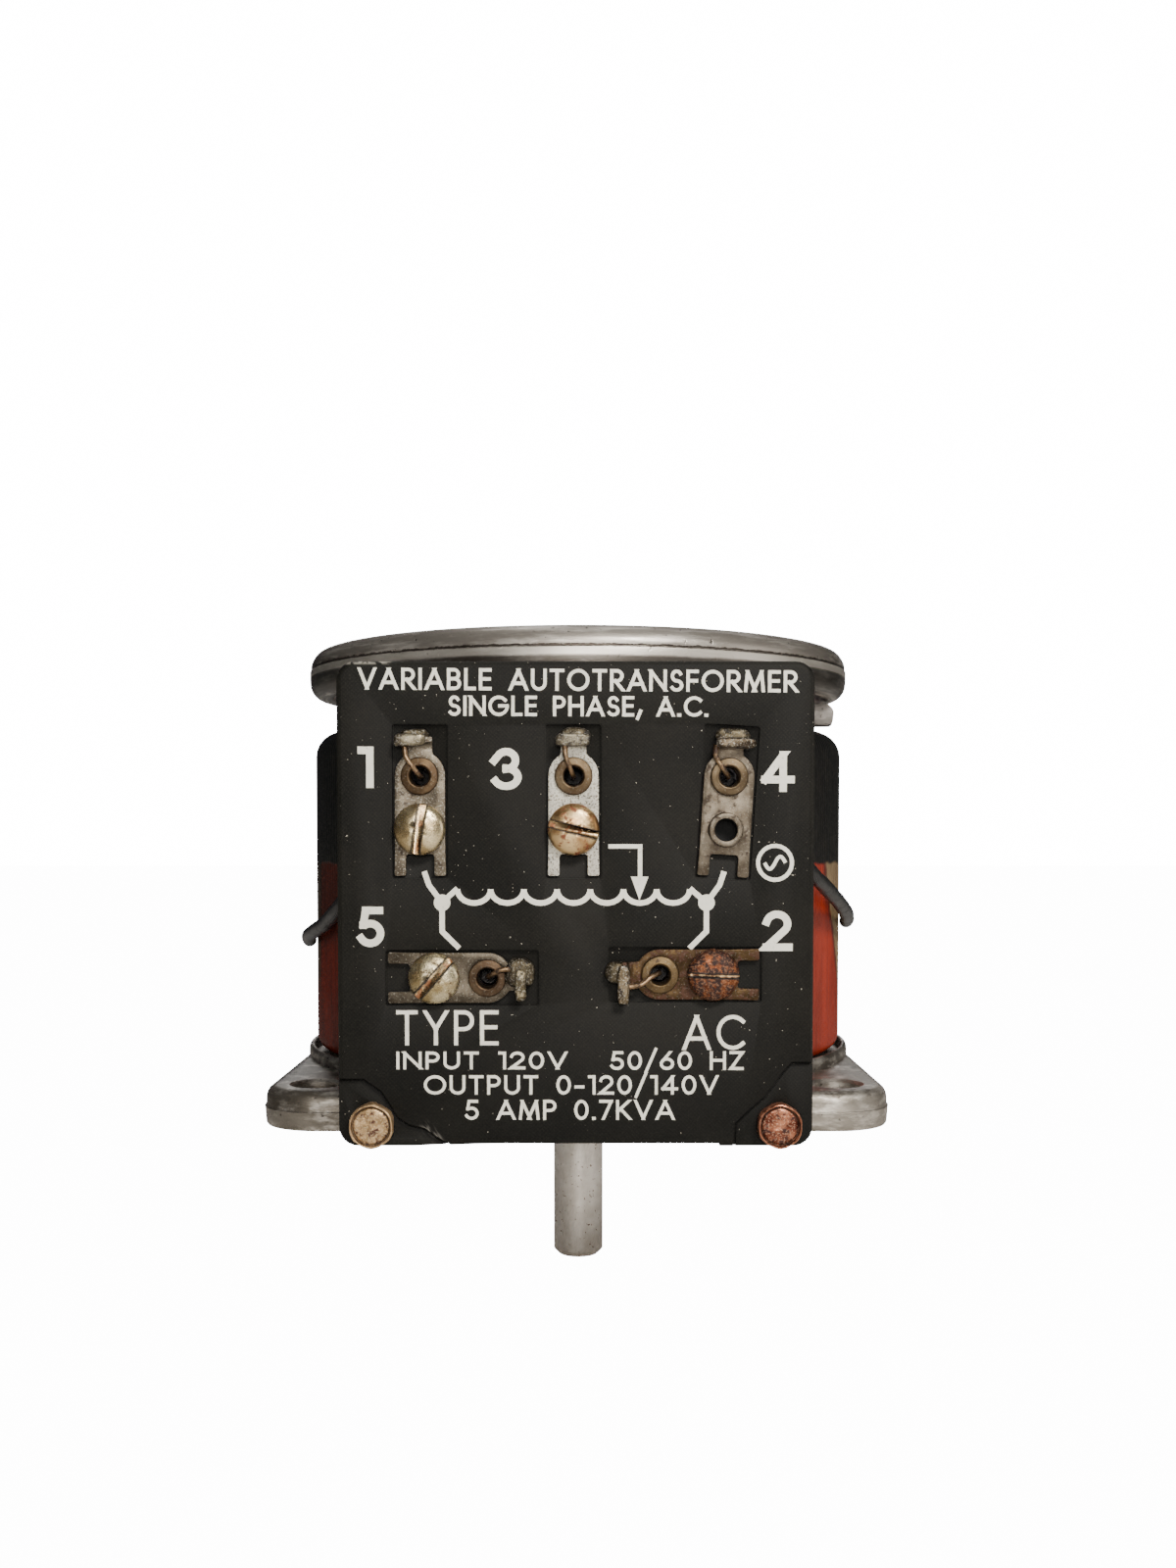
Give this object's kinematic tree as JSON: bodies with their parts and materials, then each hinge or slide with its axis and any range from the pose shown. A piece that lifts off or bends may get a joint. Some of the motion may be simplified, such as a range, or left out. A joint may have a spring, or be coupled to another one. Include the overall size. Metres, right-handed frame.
{
  "type": "variable autotransformer",
  "caption": "Panel-mounting toroidal variable autotransformer with a black terminal board, a round cast radiator and a plain control shaft.",
  "frame": {"origin": "on the shaft's axis, in the plane where the base meets its panel", "axes": "+Z along the shaft towards the radiator, -Y towards the terminal board's side, +X to the right as the board is read"},
  "size_m": [0.104, 0.1182, 0.1208],
  "materials": {
    "cast_aluminium": "bare die-cast aluminium, dulled and slightly stained",
    "steel": "plain turned steel with light tarnish",
    "tinned_brass": "tinned brass, tarnished brown",
    "screw_brass": "aged yellow screws with brown stains",
    "rusted_steel": "zinc plated steel, stained by red rust",
    "contact_brass": "plain brass",
    "bronze": "sintered bronze",
    "black_phenolic": "black moulded phenolic, off-white printing on its face",
    "fibre": "dark vulcanised fibre",
    "enamelled_wire": "red enamelled magnet wire under varnish, black coating on the upper part",
    "carbon": "dull carbon graphite",
    "sleeving": "black varnished sleeving"
  },
  "bodies": {
    "stator": {"base_casting": "cast_aluminium", "stop_post": "steel", "clamp_screw_1": "steel", "clamp_screw_2": "steel", "clamp_screw_3": "steel", "core": "steel", "terminal_1": "tinned_brass", "terminal_2": "tinned_brass", "terminal_3": "tinned_brass", "terminal_4": "tinned_brass", "terminal_5": "tinned_brass", "eyelet_1": "tinned_brass", "eyelet_2": "tinned_brass", "eyelet_3": "tinned_brass", "eyelet_4": "tinned_brass", "eyelet_5": "tinned_brass", "wire_end_1": "tinned_brass", "wire_end_2": "tinned_brass", "wire_end_3": "tinned_brass", "wire_end_4": "tinned_brass", "wire_end_5": "tinned_brass", "terminal_screw_1": "screw_brass", "terminal_screw_2": "screw_brass", "terminal_screw_3": "screw_brass", "terminal_screw_5": "screw_brass", "board_screw_left": "rusted_steel", "board_screw_right": "rusted_steel", "collector_contact": "contact_brass", "lower_bushing": "bronze", "upper_bushing": "bronze", "terminal_board": "black_phenolic", "core_cap_lower": "black_phenolic", "core_cap_upper": "black_phenolic", "insulating_washer": "fibre", "coil_clamp_plate": "fibre", "winding": "enamelled_wire", "lead_1": "sleeving", "lead_2": "sleeving", "lead_3": "sleeving", "lead_4": "sleeving", "lead_5": "sleeving"},
    "rotor": {"shaft": "steel", "radiator": "cast_aluminium", "hub_set_screw_1": "steel", "hub_set_screw_2": "steel", "retaining_ring": "steel", "lower_thrust_washer": "bronze", "upper_thrust_washer": "bronze", "spring_washer": "steel", "brush_holder": "cast_aluminium", "brush_holder_screw": "steel", "brush_spring": "steel", "collector_insulator": "fibre", "collector_ring": "contact_brass"},
    "brush": {"carbon_brush": "carbon"}
  },
  "joints": [
    {"name": "shaft_turn", "type": "hinge", "parent": "stator", "child": "rotor", "pos_m": [0, 0, 0], "axis": [0, 0, 1], "range_deg": [-58, 254]},
    {"name": "brush_slide", "type": "slide", "parent": "rotor", "child": "brush", "axis": [0, 0, 1], "range_m": [0, 0.0015], "stiffness_N_per_m": 500, "springref_m": -0.004, "deforming": ["brush_spring"]}
  ]
}
